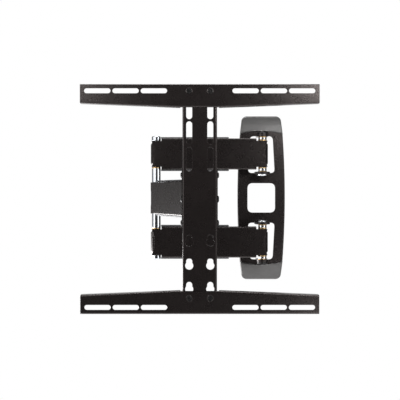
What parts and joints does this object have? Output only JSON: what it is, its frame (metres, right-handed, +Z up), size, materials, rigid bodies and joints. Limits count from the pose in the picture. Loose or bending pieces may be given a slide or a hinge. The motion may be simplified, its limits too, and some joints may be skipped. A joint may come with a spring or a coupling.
{
  "type": "full motion television wall mount",
  "caption": "Television wall mount: hinged double rear arms, a single front arm, a swivelling and tilting head, and slotted rails on an upright spine.",
  "frame": {"origin": "on the wall surface at the middle of the wall plate", "axes": "+Z up, +X to the right seen from the room, +Y into the wall; the television side is -Y"},
  "size_m": [0.442, 0.3309, 0.425],
  "materials": {
    "powder_coat": "satin black powder coat on pressed steel",
    "black_oxide": "black oxide steel fasteners",
    "chrome": "polished chrome plate",
    "brass": "sintered bronze bushings and washers",
    "cap_plastic": "metallic grey moulded plastic",
    "cover_plastic": "dark grey moulded plastic"
  },
  "bodies": {
    "wall_bracket": {"wall_plate": "powder_coat", "upper_end_cap": "cap_plastic", "upper_hinge_bolt": "black_oxide", "upper_hinge_nut": "chrome", "upper_hinge_outer_washer": "brass", "upper_hinge_inner_washer": "brass", "upper_hinge_outer_spacer": "chrome", "upper_hinge_inner_spacer": "chrome", "lower_end_cap": "cap_plastic", "lower_hinge_bolt": "black_oxide", "lower_hinge_nut": "chrome", "lower_hinge_outer_washer": "brass", "lower_hinge_inner_washer": "brass", "lower_hinge_outer_spacer": "chrome", "lower_hinge_inner_spacer": "chrome"},
    "rear_arms": {"upper_rear_arm": "powder_coat", "upper_cable_cover": "cover_plastic", "upper_hinge_outer_bushing": "brass", "upper_hinge_inner_bushing": "brass", "upper_elbow_bushing": "brass", "upper_elbow_spacer": "chrome", "lower_rear_arm": "powder_coat", "lower_cable_cover": "cover_plastic", "lower_hinge_outer_bushing": "brass", "lower_hinge_inner_bushing": "brass", "lower_elbow_bushing": "brass", "lower_elbow_spacer": "chrome", "elbow_pin": "chrome", "elbow_cap_nut": "chrome"},
    "front_arm": {"front_arm": "powder_coat", "front_cable_cover": "cover_plastic", "upper_front_bushing": "brass", "upper_pan_bushing": "brass", "lower_front_bushing": "brass", "lower_pan_bushing": "brass"},
    "pan_head": {"pan_yoke": "powder_coat", "pan_pin": "black_oxide", "pan_nut": "black_oxide", "upper_pan_spacer": "chrome", "lower_pan_spacer": "chrome"},
    "tv_frame": {"spine": "powder_coat", "left_guide_plate": "powder_coat", "right_guide_plate": "powder_coat", "pivot_bolt": "black_oxide", "pivot_nut": "black_oxide", "upper_guide_bolt": "black_oxide", "upper_guide_nut": "black_oxide", "lower_guide_bolt": "black_oxide", "lower_guide_nut": "black_oxide", "lower_rail": "powder_coat", "lower_rail_bolt_left": "black_oxide", "lower_rail_bolt_right": "black_oxide", "lower_rail_nut_left": "black_oxide", "lower_rail_nut_right": "black_oxide"},
    "top_rail": {"upper_rail": "powder_coat", "upper_rail_bolt_left": "black_oxide", "upper_rail_bolt_right": "black_oxide", "upper_rail_nut_left": "black_oxide", "upper_rail_nut_right": "black_oxide"}
  },
  "joints": [
    {"name": "wall_swing", "type": "hinge", "parent": "wall_bracket", "child": "rear_arms", "pos_m": [0, -0.045, 0], "axis": [0, 0, 1], "range_deg": [0, 180]},
    {"name": "elbow_swing", "type": "hinge", "parent": "rear_arms", "child": "front_arm", "pos_m": [-0.2345, -0.045, 0], "axis": [0, 0, 1], "range_deg": [-114.2, 65.8]},
    {"name": "pan_swivel", "type": "hinge", "parent": "front_arm", "child": "pan_head", "pos_m": [-0.13837, -0.25889, 0], "axis": [0, 0, 1], "range_deg": [-65.8, 114.2]},
    {"name": "tilt", "type": "hinge", "parent": "pan_head", "child": "tv_frame", "pos_m": [-0.13837, -0.29989, 0], "axis": [1, 0, 0], "range_deg": [-12, 12]},
    {"name": "rail_height", "type": "slide", "parent": "tv_frame", "child": "top_rail", "axis": [0, 0, 1], "range_m": [-0.0465, 0]}
  ]
}
